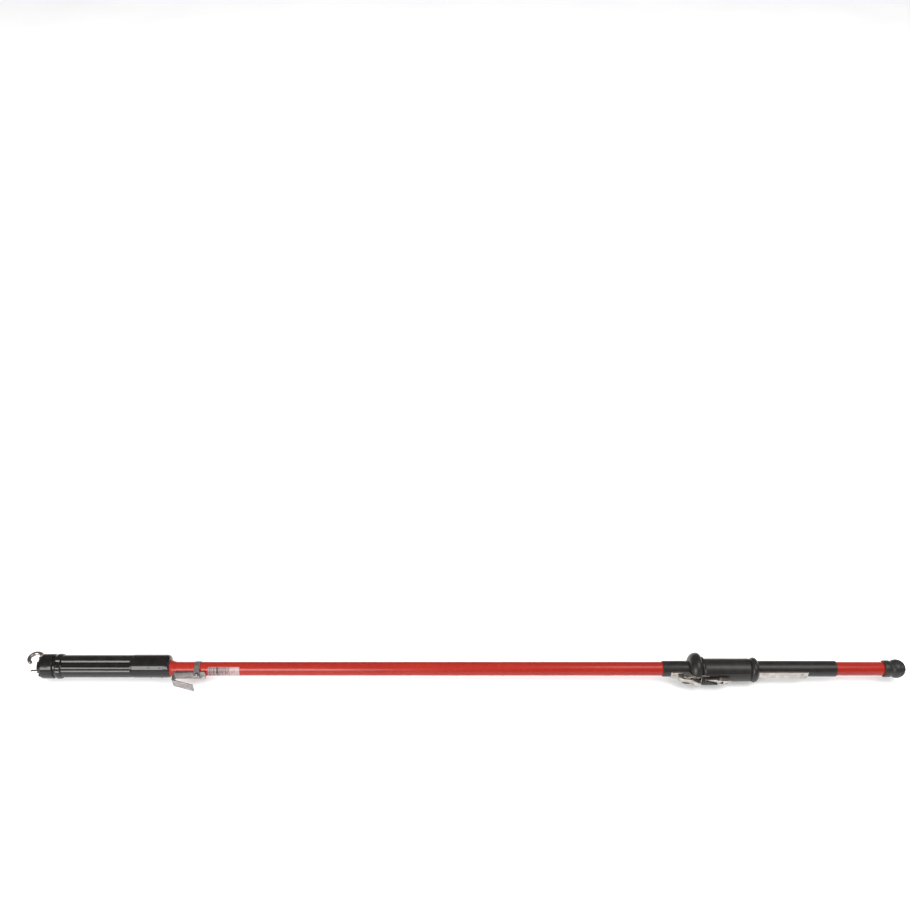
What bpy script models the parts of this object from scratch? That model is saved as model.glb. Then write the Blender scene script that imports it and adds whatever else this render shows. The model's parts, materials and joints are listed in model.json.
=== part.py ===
"""Hook-operating clamp stick: a fibreglass pole with a retractable hook in a fluted head.

Metres, +Z up. X runs along the pole, the head towards -X and the butt cap towards +X. The hook, the
hang-up hook, the rail and the latch lie in one level plane through the pole's axis: the hook's bow
points to +Y, the others to -Y. The origin is the middle of the bottom of the bounding box, where the
hand guard touches the ground.

The handle slides on its guide tube. A drive pin through a slot carries the operating rod and the
hook with it. A trigger on the handle tips a pawl that drops into a notch of the rail.
"""

import math

import bmesh
import bpy
from mathutils import Matrix, Vector

MM = 0.001
GAP = 0.3  # between pieces that touch
TRAVEL = 100.0  # of the handle and the hook, towards the butt

# Driving dimensions, in millimetres: x along the pole from the middle of the stick's length.
POLE_R, POLE_BORE_R = 15.9, 12.7
POLE_X = (-744.0, 998.0)
ROD_R = 4.75

HEAD_ECC = 7.6  # the head's axis lies this far towards the hook's bow
HEAD_FRONT, CROWN_END = -989.8, -953.4
BODY_END, SLEEVE_START, SLEEVE_END = -744.5, -770.0, -683.5
COLLAR_R, RING_R, BODY_R, SLEEVE_R = 28.6, 28.8, 25.7, 26.4
SLOT_HALF, SLOT_FLOOR, SLOT_END = 6.0, -5.7, -866.5
MOUTH_DEPTH = 7.0
FLUTE_X = (-937.0, -773.5)
FLUTES = ((22.5, 37.0, 1.2), (43.5, 72.0, 5.2))  # first and last angle from -Y, and depth
NOSE_R, NOSE_FRONT = 16.4, -992.9
FLARE_ECC, FLARE_R = 2.6, 20.0
COUPLING_R, COUPLING_BORE_R = 8.9, 9.3

HOOK_R = 5.0
BOW_X, BOW_Y, BOW_R = -1006.5, 29.5, 15.4
BOW_TIP_ANGLE, BOW_NECK_ANGLE = 236.0, 14.0
SHANK_END = -838.0
PRONG_R, PRONG_Y, PRONG_X = 4.4, -8.5, (-1007.0, -971.5)

STRAP_WIDTH, STRAP_THICK = 22.0, 3.2
STRAP_END, STRAP_BEND, STRAP_TIP = -599.5, -671.8, -620.3
STRAP_DROP, STRAP_REACH = -40.2, -55.6
BAND_X, BAND_WIDTH, BAND_THICK = -618.8, 12.7, 0.8
LABEL_X = (-593.5, -520.5)

GUIDE_R, GUIDE_BORE_R = 18.25, 16.2
GUIDE_X = (460.8, 863.9)
RAIL_X, RAIL_HALF, RAIL_FACE = (479.0, 797.0), 9.5, -20.8

GUARD_X, GUARD_RING_R, GUARD_BULGE_R = 539.1, 18.8, 18.4
GRIP_X, GRIP_R, GRIP_ECC = (555.2, 661.5), 26.4, -3.5
REAR_RING_X, REAR_RING_R = (661.8, 680.5), 28.6
REAR_CREST_X, REAR_ROUND = 671.8, 9.0
HANDLE_BORE_R, CHANNEL_HALF, CHANNEL_FLOOR = 18.7, 10.4, -22.3
DRIVE_X, DRIVE_PIN_R = 618.5, 3.0

LATCH_PIVOT = (514.5, -29.5)
TRIGGER_PIVOT = (590.0, -35.6)
CAP_X, CAP_BALL_X, CAP_BALL_R, CAP_COLLAR_R = 975.0, 1005.3, 21.6, 19.4

GUARD_R = GUARD_RING_R + GUARD_BULGE_R
BOW_TOP = BOW_Y + BOW_R + HOOK_R
# The strap's lower leg ends square to its slope, so its corner reaches a little past its middle.
STRAP_SLOPE = math.atan2(STRAP_DROP - STRAP_REACH, STRAP_TIP - STRAP_BEND)
STRAP_LOWEST = STRAP_REACH - STRAP_THICK / 2 * math.cos(STRAP_SLOPE)
AXIS_Y = -(BOW_TOP + STRAP_LOWEST) / 2
AXIS_Z = GUARD_R


# ---------------------------------------------------------------- scene, materials and collections

def clear_scene():
    for obj in list(bpy.data.objects):
        bpy.data.objects.remove(obj, do_unlink=True)


def new_collection(name, hidden=False):
    collection = bpy.data.collections.new(name)
    collection.hide_render = hidden
    bpy.context.scene.collection.children.link(collection)
    return collection


def new_material(name, colour, roughness, metallic=0.0):
    material = bpy.data.materials.new(name)
    material.use_nodes = True
    shader = material.node_tree.nodes["Principled BSDF"]
    shader.inputs["Base Color"].default_value = (*colour, 1.0)
    shader.inputs["Roughness"].default_value = roughness
    shader.inputs["Metallic"].default_value = metallic
    material.diffuse_color = (*colour, 1.0)
    return material


clear_scene()
PARTS = new_collection("clamp_stick")
CUTTERS = new_collection("cutters", hidden=True)
BLACK = new_material("black_plastic", (0.020, 0.019, 0.018), 0.42)
RUBBER = new_material("black_rubber", (0.016, 0.016, 0.015), 0.75)
RED = new_material("red_fibreglass", (0.55, 0.030, 0.018), 0.30)
STEEL = new_material("brushed_steel", (0.52, 0.50, 0.47), 0.35, 1.0)
GALVANISED = new_material("galvanised_steel", (0.36, 0.34, 0.33), 0.55, 1.0)
NYLON = new_material("white_nylon", (0.75, 0.74, 0.70), 0.50)
FOAM = new_material("grey_foam", (0.35, 0.35, 0.34), 0.90)
PAPER = new_material("label_film", (0.78, 0.66, 0.65), 0.40)


def new_empty(name, x, y):
    """A joint's frame at (x, y) in the pole's plane. Its children's places are relative to it."""
    empty = bpy.data.objects.new(name, None)
    empty.empty_display_size = 0.02
    empty.location = Vector((x * MM, AXIS_Y * MM + y * MM, AXIS_Z * MM))
    PARTS.objects.link(empty)
    return empty


POLE_FRAME = new_empty("pole_frame", 0.0, 0.0)
SLIDER_FRAME = new_empty("slider_frame", GRIP_X[0], 0.0)
LATCH_FRAME = new_empty("latch_frame", *LATCH_PIVOT)
TRIGGER_FRAME = new_empty("trigger_frame", *TRIGGER_PIVOT)
bpy.context.view_layer.update()
for frame in (LATCH_FRAME, TRIGGER_FRAME):
    frame.parent = SLIDER_FRAME
    frame.location = frame.location - SLIDER_FRAME.location
bpy.context.view_layer.update()


# ---------------------------------------------------------------- shape helpers, in the pole's frame

def add_object(name, data, material=None, parent=POLE_FRAME):
    """An object whose mesh is in metres about the pole's axis, moved to its parent's origin."""
    obj = bpy.data.objects.new(name, data)
    if material is None:
        CUTTERS.objects.link(obj)
        obj.hide_render = True
        obj.display_type = "WIRE"
        obj.location = POLE_FRAME.location
        return obj
    data.materials.append(material)
    PARTS.objects.link(obj)
    offset = parent.matrix_world.translation - POLE_FRAME.matrix_world.translation
    data.transform(Matrix.Translation(-offset))
    obj.parent = parent
    return obj


def mesh_from(name, geometry):
    mesh = bpy.data.meshes.new(name)
    geometry.to_mesh(mesh)
    geometry.free()
    return mesh


def frozen(obj):
    """The object with its modifiers applied, and a curve turned into a mesh with welded caps."""
    bpy.context.view_layer.update()
    graph = bpy.context.evaluated_depsgraph_get()
    mesh = bpy.data.meshes.new_from_object(obj.evaluated_get(graph))
    geometry = bmesh.new()
    geometry.from_mesh(mesh)
    bmesh.ops.remove_doubles(geometry, verts=geometry.verts, dist=1e-6)
    geometry.to_mesh(mesh)
    geometry.free()
    mesh.shade_smooth()
    mesh.set_sharp_from_angle(angle=math.radians(35))
    if obj.type == "MESH":
        obj.modifiers.clear()
        obj.data = mesh
        return obj
    name, parent, collection = obj.name, obj.parent, obj.users_collection[0]
    world = obj.matrix_world.copy()
    bpy.data.objects.remove(obj, do_unlink=True)
    solid = bpy.data.objects.new(name, mesh)
    collection.objects.link(solid)
    solid.parent = parent
    solid.matrix_world = world
    return solid


def turned(name, outer, bore=(), material=None, parent=POLE_FRAME, y=0.0, steps=36):
    """A shape turned about X through y: (x, radius) points of its outside and its bore, front to back."""
    loop = list(reversed(outer)) + list(bore)
    geometry = bmesh.new()
    verts = [geometry.verts.new((x * MM, r * MM, 0.0)) for x, r in loop]
    ends = zip(verts, verts[1:] + verts[:1]) if bore else zip(verts, verts[1:])
    for first, second in ends:
        geometry.edges.new((first, second))
    obj = add_object(name, mesh_from(name, geometry), material)
    screw = obj.modifiers.new("turn", "SCREW")
    screw.axis = "X"
    screw.steps = screw.render_steps = steps
    screw.use_merge_vertices = not bore
    screw.merge_threshold = 1e-6
    frozen(obj)
    obj.data.transform(Matrix.Translation((0.0, y * MM, 0.0)))
    return reparent(obj, parent)


def reparent(obj, parent):
    if parent is not POLE_FRAME:
        offset = parent.matrix_world.translation - POLE_FRAME.matrix_world.translation
        obj.data.transform(Matrix.Translation(-offset))
        obj.parent = parent
    return obj


def cylinder(name, start, end, radius, material=None, parent=POLE_FRAME, steps=24):
    """A round bar between two (x, y, z) points."""
    start, end = Vector(start) * MM, Vector(end) * MM
    turn = (end - start).to_track_quat("Z", "Y").to_matrix().to_4x4()
    geometry = bmesh.new()
    bmesh.ops.create_cone(geometry, cap_ends=True, segments=steps, radius1=radius * MM,
                          radius2=radius * MM, depth=(end - start).length,
                          matrix=Matrix.Translation((start + end) / 2) @ turn)
    obj = add_object(name, mesh_from(name, geometry), material, parent)
    return obj


def box(name, low, high, material=None, parent=POLE_FRAME, turn=0.0, about=(0.0, 0.0)):
    """A box between two corners, turned about X round the point (y, z) = about."""
    low, high = Vector(low) * MM, Vector(high) * MM
    geometry = bmesh.new()
    bmesh.ops.create_cube(geometry, size=1.0)
    centre = Vector((0.0, about[0] * MM, about[1] * MM))
    place = (Matrix.Translation(centre) @ Matrix.Rotation(turn, 4, "X") @ Matrix.Translation(-centre)
             @ Matrix.Translation((low + high) / 2) @ Matrix.Diagonal((*(high - low), 1.0)))
    bmesh.ops.transform(geometry, matrix=place, verts=geometry.verts)
    return add_object(name, mesh_from(name, geometry), material, parent)


def outline_solid(name, loops, half, plane="XY", at=0.0, material=None, parent=POLE_FRAME):
    """Flat outlines in a plane, the second and later ones as holes, made 2 * half thick."""
    curve = bpy.data.curves.new(name, "CURVE")
    curve.dimensions = "2D"
    curve.fill_mode = "BOTH"
    curve.extrude = half * MM
    for loop in loops:
        spline = curve.splines.new("POLY")
        spline.points.add(len(loop) - 1)
        for point, (a, b) in zip(spline.points, loop):
            point.co = (a * MM, b * MM, 0.0, 1.0)
        spline.use_cyclic_u = True
    obj = bpy.data.objects.new(name, curve)
    (PARTS if material else CUTTERS).objects.link(obj)
    solid = frozen(obj)
    if plane == "XY":
        place = Matrix.Translation((0.0, 0.0, at * MM))
    elif plane == "XZ":
        place = Matrix.Translation((0.0, at * MM, 0.0)) @ Matrix.Rotation(math.pi / 2, 4, "X")
    else:  # outline points are (y, z)
        axes = Matrix(((0, 0, 1, 0), (1, 0, 0, 0), (0, 1, 0, 0), (0, 0, 0, 1)))
        place = Matrix.Translation((at * MM, 0.0, 0.0)) @ axes
    mesh = solid.data
    mesh.transform(place)
    bpy.data.objects.remove(solid, do_unlink=True)
    return add_object(name, mesh, material, parent)


def wire(name, points, radius, material, parent=POLE_FRAME, resolution=1):
    """A round wire through (x, y, z) points."""
    curve = bpy.data.curves.new(name, "CURVE")
    curve.dimensions = "3D"
    curve.bevel_depth = radius * MM
    curve.bevel_resolution = resolution
    curve.use_fill_caps = True
    spline = curve.splines.new("POLY")
    spline.points.add(len(points) - 1)
    for point, place in zip(spline.points, points):
        point.co = (*(Vector(place) * MM), 1.0)
    obj = bpy.data.objects.new(name, curve)
    PARTS.objects.link(obj)
    solid = frozen(obj)
    mesh = solid.data
    bpy.data.objects.remove(solid, do_unlink=True)
    return add_object(name, mesh, material, parent)


def cut(obj, *cutters, operation="DIFFERENCE"):
    """Takes cutters from a part, or joins them to it, and removes them."""
    for cutter in cutters:
        bool_cut = obj.modifiers.new("cut", "BOOLEAN")
        bool_cut.operation = operation
        bool_cut.object = cutter
    frozen(obj)
    for cutter in cutters:
        bpy.data.objects.remove(cutter, do_unlink=True)
    return obj


def arc(centre, radius, start, end, steps):
    """(a, b) points on a circle, from one angle to another in degrees."""
    turns = [math.radians(start + (end - start) * i / steps) for i in range(steps + 1)]
    return [(centre[0] + radius * math.cos(t), centre[1] + radius * math.sin(t)) for t in turns]


def filleted(corners, radii, closed=True, steps=4):
    """An outline's corners, each rounded to its radius."""
    points = []
    count = len(corners)
    for i, (corner, radius) in enumerate(zip(corners, radii)):
        if radius == 0 or (not closed and i in (0, count - 1)):
            points.append(tuple(corner))
            continue
        here = Vector(corner)
        before = (Vector(corners[i - 1]) - here).normalized()
        after = (Vector(corners[(i + 1) % count]) - here).normalized()
        half = before.angle(after) / 2
        centre = here + (before + after).normalized() * radius / math.sin(half)
        first = here + before * radius / math.tan(half) - centre
        last = here + after * radius / math.tan(half) - centre
        sweep = first.angle_signed(last)
        for k in range(steps + 1):
            turn = -sweep * k / steps
            x = first.x * math.cos(turn) - first.y * math.sin(turn)
            y = first.x * math.sin(turn) + first.y * math.cos(turn)
            points.append((centre.x + x, centre.y + y))
    return points


def strip(path, thickness, closed=False):
    """The side outlines of a strip of this thickness along a path: one loop, or two if it is closed."""
    count = len(path)
    left, right = [], []
    for i, (x, y) in enumerate(path):
        before = path[i - 1] if closed or i else path[0]
        after = path[(i + 1) % count] if closed or i < count - 1 else path[-1]
        along = (Vector(after) - Vector(before)).normalized()
        side = Vector((-along.y, along.x)) * thickness / 2
        left.append((x + side.x, y + side.y))
        right.append((x - side.x, y - side.y))
    return [left, right] if closed else [left + right[::-1]]


def coil(x, y, z_start, z_end, radius, turns, steps=10):
    """Points of a coil about a line along Z."""
    count = int(turns * steps)
    return [(x + radius * math.cos(2 * math.pi * i / steps),
             y + radius * math.sin(2 * math.pi * i / steps),
             z_start + (z_end - z_start) * i / count) for i in range(count + 1)]


# ---------------------------------------------------------------- head

def flute_cutters(start, end):
    """Long pockets between the head's ribs, the same above and below the level plane."""
    cutters = []
    for number, (first, last, depth) in enumerate(FLUTES):
        for side in (1, -1):
            loop = (arc((0, 0), BODY_R - depth, first, last, 3)
                    + arc((0, 0), BODY_R + 8.0, last, first, 3))
            loop = [(HEAD_ECC - a, side * b) for a, b in loop]
            name = f"flute_{number}_{side}"
            cutters.append(outline_solid(name, [loop], (end - start) / 2, "YZ", (start + end) / 2))
    return cutters


def hook_slot(start, end):
    return box("hook_slot", (start, SLOT_FLOOR, -SLOT_HALF), (end, 60.0, SLOT_HALF))


def screw_places():
    return [(-5.5, side * 11.0) for side in (1, -1)]


def make_crown():
    outer = [(NOSE_FRONT, 0.0), (NOSE_FRONT, NOSE_R - 0.8), (NOSE_FRONT + 0.8, NOSE_R),
             (HEAD_FRONT, NOSE_R), (HEAD_FRONT, 24.0), (-980.5, COLLAR_R), (-955.4, COLLAR_R),
             (CROWN_END, COLLAR_R - 1.6), (CROWN_END, 0.0)]
    crown = turned("head_crown", outer, material=BLACK, y=HEAD_ECC)
    cutters = [hook_slot(HEAD_FRONT - 5, CROWN_END + 5)]
    mouth = HEAD_FRONT + MOUTH_DEPTH
    cutters.append(box("mouth_level", (HEAD_FRONT - 5, -40, -SLOT_HALF), (mouth, 40, SLOT_HALF)))
    cutters.append(box("mouth_upright", (HEAD_FRONT - 5, HEAD_ECC - 6.0, -40),
                       (mouth, HEAD_ECC + 6.0, 40)))
    cutters.append(cylinder("prong_bore", (mouth - 5, PRONG_Y, 0), (PRONG_X[1] + GAP, PRONG_Y, 0),
                            PRONG_R + GAP))
    for side in (1, -1):
        tilt = math.radians(41.0) * side
        flat = COLLAR_R * 0.965
        low = (-984.5, HEAD_ECC - 20, flat if side > 0 else -40)
        high = (-963.0, HEAD_ECC + 20, 40 if side > 0 else -flat)
        cutters.append(box(f"land_{side}", low, high, turn=tilt, about=(HEAD_ECC, 0.0)))
    for y, z in screw_places():
        cutters.append(cylinder("screw_bore", (mouth - 5, y, z), (CROWN_END + 5, y, z), 2.3, steps=16))
        cutters.append(cylinder("screw_recess", (mouth - 5, y, z), (mouth + 5.0, y, z), 4.0, steps=20))
    cutters += flute_cutters(-959.5, CROWN_END + 3)
    cut(crown, *cutters)


def make_head_body():
    front = CROWN_END + GAP
    ring = arc((-941.0, RING_R - 7.0), 7.0, 172, 8, 5)
    outer = ([(front, 0.0), (front, 25.3), (-948.4, 25.3)] + ring
             + [(-933.6, BODY_R), (SLEEVE_START - GAP, BODY_R), (SLEEVE_START - GAP, 23.9),
                (BODY_END, 23.9), (BODY_END, 0.0)])
    body = turned("head_body", outer, material=BLACK, y=HEAD_ECC)
    cutters = [hook_slot(front - 5, SLOT_END),
               cylinder("coupling_bore", (SLOT_END - 1, 0, 0), (BODY_END + 5, 0, 0), COUPLING_BORE_R)]
    for y, z in screw_places():
        cutters.append(cylinder("screw_bore", (front - 5, y, z), (-934.7, y, z), 2.3, steps=16))
    cutters += flute_cutters(*FLUTE_X)
    cut(body, *cutters)


def make_head_sleeve():
    edge = arc((SLEEVE_END - 0.5, SLEEVE_R - 0.5), 0.5, 90, 0, 2)
    outer = [(SLEEVE_START, SLEEVE_R - 0.8), (SLEEVE_START + 0.8, SLEEVE_R)] + edge
    bore = [(SLEEVE_START, 24.2), (BODY_END + GAP, 24.2), (BODY_END + GAP, 8.0),
            (SLEEVE_END - 6.0, 8.0), (SLEEVE_END, 8.0)]
    sleeve = turned("head_sleeve", outer, bore, material=BLACK, y=HEAD_ECC)
    cutters = [cylinder("flare_seat", (SLEEVE_END - 6.0, FLARE_ECC, 0), (SLEEVE_END + 5, FLARE_ECC, 0),
                        FLARE_R + GAP, steps=36),
               cylinder("pole_bore", (BODY_END - 1, 0, 0), (SLEEVE_END + 5, 0, 0), POLE_R + GAP, steps=36)]
    for x in HEAD_PINS:
        cutters.append(cylinder("pin_bore", (x, HEAD_PIN_Y, -40), (x, HEAD_PIN_Y, 40), 2.1, steps=12))
    cut(sleeve, *cutters)


HEAD_PINS, HEAD_PIN_Y = (-730.0, -704.0), -11.4


def make_head_hardware():
    cylinder("eye_prong", (PRONG_X[0], PRONG_Y, 0), (PRONG_X[1], PRONG_Y, 0), PRONG_R, STEEL)
    rim = bpy.data.objects["eye_prong"].modifiers.new("rim", "BEVEL")
    rim.width = 1.2 * MM
    rim.segments = 2
    rim.limit_method = "ANGLE"
    frozen(bpy.data.objects["eye_prong"])
    mouth = HEAD_FRONT + MOUTH_DEPTH
    for name, (y, z) in zip(("crown_screw_upper", "crown_screw_lower"), screw_places()):
        screw = cylinder(name, (mouth + 1.0, y, z), (mouth + 4.7, y, z), 3.6, STEEL, steps=20)
        shank = cylinder("shank", (mouth + 4.0, y, z), (-935.0, y, z), 2.0, steps=16)
        cut(screw, shank, operation="UNION")
    for name, x in zip(("head_pin_front", "head_pin_rear"), HEAD_PINS):
        half = math.sqrt(SLEEVE_R ** 2 - (HEAD_PIN_Y - HEAD_ECC) ** 2) - 0.5
        cylinder(name, (x, HEAD_PIN_Y, -half), (x, HEAD_PIN_Y, half), 1.8, STEEL, steps=12)


def make_head_flare(steps=36):
    """The red fillet between the head's eccentric mouth and the pole."""
    start, lip, end = SLEEVE_END - 5.6, SLEEVE_END + 0.2, -671.5
    rings = [(start, FLARE_ECC, FLARE_R), (lip, FLARE_ECC, FLARE_R)]
    for i in range(1, 6):
        rest = (1 - i / 5) ** 1.7
        radius = POLE_R + 0.9 + (FLARE_R - 0.9 - POLE_R) * rest
        rings.append((lip + (end - lip) * i / 5, FLARE_ECC * rest, radius))
    rings += [(end, 0.0, POLE_R + GAP), (start, 0.0, POLE_R + GAP)]
    geometry = bmesh.new()
    loops = []
    for x, y, r in rings:
        turns = [2 * math.pi * k / steps for k in range(steps)]
        loops.append([geometry.verts.new((x * MM, (y + r * math.cos(t)) * MM, r * math.sin(t) * MM))
                      for t in turns])
    for first, second in zip(loops, loops[1:] + loops[:1]):
        for k in range(steps):
            nxt = (k + 1) % steps
            geometry.faces.new((first[k], first[nxt], second[nxt], second[k]))
    bmesh.ops.recalc_face_normals(geometry, faces=geometry.faces)
    flare = add_object("head_flare", mesh_from("head_flare", geometry), RED)
    frozen(flare)


# ---------------------------------------------------------------- pole and what is fixed on it

def drive_slot(name, inner, outer):
    """The slot on the +Y side that the drive pin runs in."""
    half = DRIVE_PIN_R + GAP
    return box(name, (DRIVE_X - 6.0, inner, -half), (DRIVE_X + TRAVEL + 6.0, outer, half))


def make_pole():
    pole = turned("pole_tube", [(POLE_X[0], POLE_R), (POLE_X[1], POLE_R)],
                  [(POLE_X[0], POLE_BORE_R), (POLE_X[1], POLE_BORE_R)], material=RED)
    cutters = [drive_slot("pole_slot", 2.0, 30.0)]
    for x in HEAD_PINS:
        cutters.append(cylinder("pin_bore", (x, HEAD_PIN_Y, -40), (x, HEAD_PIN_Y, 40), 2.1, steps=12))
    cut(pole, *cutters)
    for name, x in (("rod_guide_front", -688.0), ("rod_guide_middle", -60.0), ("rod_guide_rear", 440.0)):
        half = 9.0
        turned(name, [(x - half, POLE_BORE_R - GAP), (x + half, POLE_BORE_R - GAP)],
               [(x - half, ROD_R + GAP), (x + half, ROD_R + GAP)], material=NYLON, steps=32)
    turned("butt_plug", [(940.0, 0.0), (940.0, POLE_BORE_R - GAP), (985.0, POLE_BORE_R - GAP),
                         (985.0, 0.0)], material=FOAM, steps=32)


def make_guide_tube():
    chamfer = 1.5
    start, end = GUIDE_X
    tube = turned("guide_tube",
                  [(start, GUIDE_R - chamfer), (start + chamfer, GUIDE_R), (end - 2.2, GUIDE_R),
                   (end, GUIDE_R - 1.6)],
                  [(start, GUIDE_BORE_R), (end, GUIDE_BORE_R)], material=BLACK)
    cutters = [drive_slot("guide_slot", 2.0, 30.0)]
    for x in RIVETS.values():
        cutters.append(cylinder("rivet_bore", (x, -30, 0), (x, -10, 0), 2.3, steps=16))
    cut(tube, *cutters)


RIVETS = {"rail_rivet_front": 486.0, "rail_rivet_rear": 783.0}
NOTCH_X, NOTCH_LENGTH, NOTCH_DEPTH = 500.6, 6.4, 1.7


def make_rail():
    start, end = RAIL_X
    side = [(start, -14.0), (start, RAIL_FACE + 2.6), (start + 4.0, RAIL_FACE), (end - 4.0, RAIL_FACE),
            (end, RAIL_FACE + 2.6), (end, -14.0)]
    rail = outline_solid("rail", [side], RAIL_HALF, material=STEEL)
    cutters = [cylinder("tube_seat", (start - 5, 0, 0), (end + 5, 0, 0), GUIDE_R + GAP, steps=36)]
    for x in (NOTCH_X, NOTCH_X + TRAVEL):
        cutters.append(box("notch", (x - NOTCH_LENGTH / 2, RAIL_FACE - 5, -6.2),
                           (x + NOTCH_LENGTH / 2, RAIL_FACE + NOTCH_DEPTH, 6.2)))
    for x in RIVETS.values():
        cutters.append(cylinder("rivet_bore", (x, -30, 0), (x, -10, 0), 2.3, steps=16))
    cut(rail, *cutters)
    for name, x in RIVETS.items():
        rivet = cylinder(name, (x, RAIL_FACE - 0.9, 0), (x, RAIL_FACE - 0.1, 0), 3.8, STEEL, steps=20)
        shank = cylinder("shank", (x, RAIL_FACE - 0.5, 0), (x, -GUIDE_BORE_R - 0.1, 0), 2.0, steps=16)
        cut(rivet, shank, operation="UNION")


def make_hang_hook():
    lay = -(POLE_R + GAP + STRAP_THICK / 2)
    path = filleted([(STRAP_END, lay), (STRAP_BEND, lay), (STRAP_BEND + 0.8, STRAP_DROP),
                     (STRAP_TIP, STRAP_REACH)], [0, 6.5, 5.5, 0], closed=False, steps=6)
    outline = strip(path, STRAP_THICK)
    hook = outline_solid("hang_hook", outline, STRAP_WIDTH / 2, material=GALVANISED)
    edge = hook.modifiers.new("edge", "BEVEL")
    edge.width = 0.5 * MM
    edge.segments = 1
    edge.limit_method = "ANGLE"
    edge.angle_limit = math.radians(60)
    frozen(hook)
    face = lay - STRAP_THICK / 2
    turned_dome = [(0.0, 0.0), (0.0, 3.6), (1.2, 3.0), (2.0, 1.6), (2.2, 0.0)]
    dome = turned("hang_hook_stud", turned_dome, material=STEEL, steps=20)
    dome.data.transform(Matrix.Translation((-605.5 * MM, (face - 0.1) * MM, -6.0 * MM))
                        @ Matrix.Rotation(-math.pi / 2, 4, "Z"))


def make_hose_clamp():
    """A worm-drive band round the pole and the strap's upper leg."""
    inner = POLE_R + GAP
    corner = Vector((-(POLE_R + 2 * GAP + STRAP_THICK), STRAP_WIDTH / 2 + GAP))
    reach = math.degrees(math.acos(inner / corner.length))
    bearing = math.degrees(math.atan2(corner.y, corner.x))
    around = arc((0, 0), inner, bearing - reach, -(bearing - reach), 24)
    loop = [(corner.x, -corner.y)] + around[::-1] + [(corner.x, corner.y)]
    middle = BAND_THICK / 2 + 0.1
    grown = [(y * (1 + middle / math.hypot(y, z)), z * (1 + middle / math.hypot(y, z))) for y, z in loop]
    outline_solid("clamp_band", strip(grown, BAND_THICK, closed=True), BAND_WIDTH / 2, "YZ", BAND_X,
                  GALVANISED)
    # The worm housing sits on the band over the strap, its screw along the band.
    out = Vector((-1.0, 0.0))
    along = Vector((0.0, -1.0))
    low = -corner.x + BAND_THICK + 0.5
    corners = [out * low + along * -6.5, out * low + along * 6.5,
               out * (low + 5.4) + along * 5.0, out * (low + 5.4) + along * -5.0]
    outline_solid("clamp_housing", [filleted([tuple(c) for c in corners], [0.6, 0.6, 1.8, 1.8])],
                  BAND_WIDTH / 2 + 0.9, "YZ", BAND_X, GALVANISED)
    head = out * (low + 3.1)
    start, end = head + along * -7.0, head + along * -12.5
    screw = cylinder("clamp_screw", (BAND_X, *start), (BAND_X, *end), 2.9, STEEL, steps=6)
    tip = cylinder("tip", (BAND_X, *(head + along * -6.9)), (BAND_X, *(head + along * -7.6)), 2.2, steps=12)
    cut(screw, tip, operation="UNION")


def make_label():
    first, last = 114.0, 214.0
    inner, outer = POLE_R + 0.1, POLE_R + 0.35
    loop = arc((0, 0), inner, first, last, 14) + arc((0, 0), outer, last, first, 14)
    outline_solid("label", [loop], (LABEL_X[1] - LABEL_X[0]) / 2, "YZ", sum(LABEL_X) / 2, PAPER)


def make_butt_cap():
    neck = math.degrees(math.asin(17.8 / CAP_BALL_R))
    ball = arc((CAP_BALL_X, 0.0), CAP_BALL_R, 180 - neck, 0, 8)
    outer = [(CAP_X, CAP_COLLAR_R - 0.6), (CAP_X + 1.0, CAP_COLLAR_R), (CAP_X + 14.0, CAP_COLLAR_R)] + ball
    outer[-1] = (outer[-1][0], 0.0)
    bore = [(CAP_X, POLE_R + GAP), (POLE_X[1] + GAP, POLE_R + GAP), (POLE_X[1] + GAP, 0.0)]
    profile = outer[::-1] + bore
    geometry = bmesh.new()
    verts = [geometry.verts.new((x * MM, r * MM, 0.0)) for x, r in profile]
    for first, second in zip(verts, verts[1:]):
        geometry.edges.new((first, second))
    cap = add_object("butt_cap", mesh_from("butt_cap", geometry), RUBBER)
    screw = cap.modifiers.new("turn", "SCREW")
    screw.axis = "X"
    screw.steps = screw.render_steps = 32
    screw.use_merge_vertices = True
    screw.merge_threshold = 1e-6
    frozen(cap)


# ---------------------------------------------------------------- slider: handle, rod and hook

def handle_bores(start, end):
    """The bore for the guide tube and the channel for the rail."""
    return [cylinder("tube_bore", (start - 5, 0, 0), (end + 5, 0, 0), HANDLE_BORE_R, steps=36),
            box("rail_channel", (start - 5, CHANNEL_FLOOR, -CHANNEL_HALF), (end + 5, 0, CHANNEL_HALF))]


BRACKET_SCREWS = ((-27.6, 7.6), (-27.6, -7.6))


def make_guard():
    start = math.degrees(math.asin(0.4 / GUARD_BULGE_R))
    end = math.degrees(math.acos((GRIP_X[0] - GAP - GUARD_X) / GUARD_BULGE_R))
    bulge = arc((GUARD_X, GUARD_RING_R), GUARD_BULGE_R, 180 - start, end, 10)
    outer = [(bulge[0][0], 0.0)] + bulge + [(GRIP_X[0] - GAP, 0.0)]
    guard = turned("hand_guard", outer, material=BLACK, parent=SLIDER_FRAME)
    cutters = handle_bores(bulge[0][0], GRIP_X[0])
    cutters.append(box("latch_recess", (510.0, -45.0, -12.8), (549.4, -17.7, 12.8)))
    for y, z in BRACKET_SCREWS:
        cutters.append(cylinder("screw_bore", (540, y, z), (570, y, z), 1.9, steps=12))
    cut(guard, *cutters)


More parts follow.
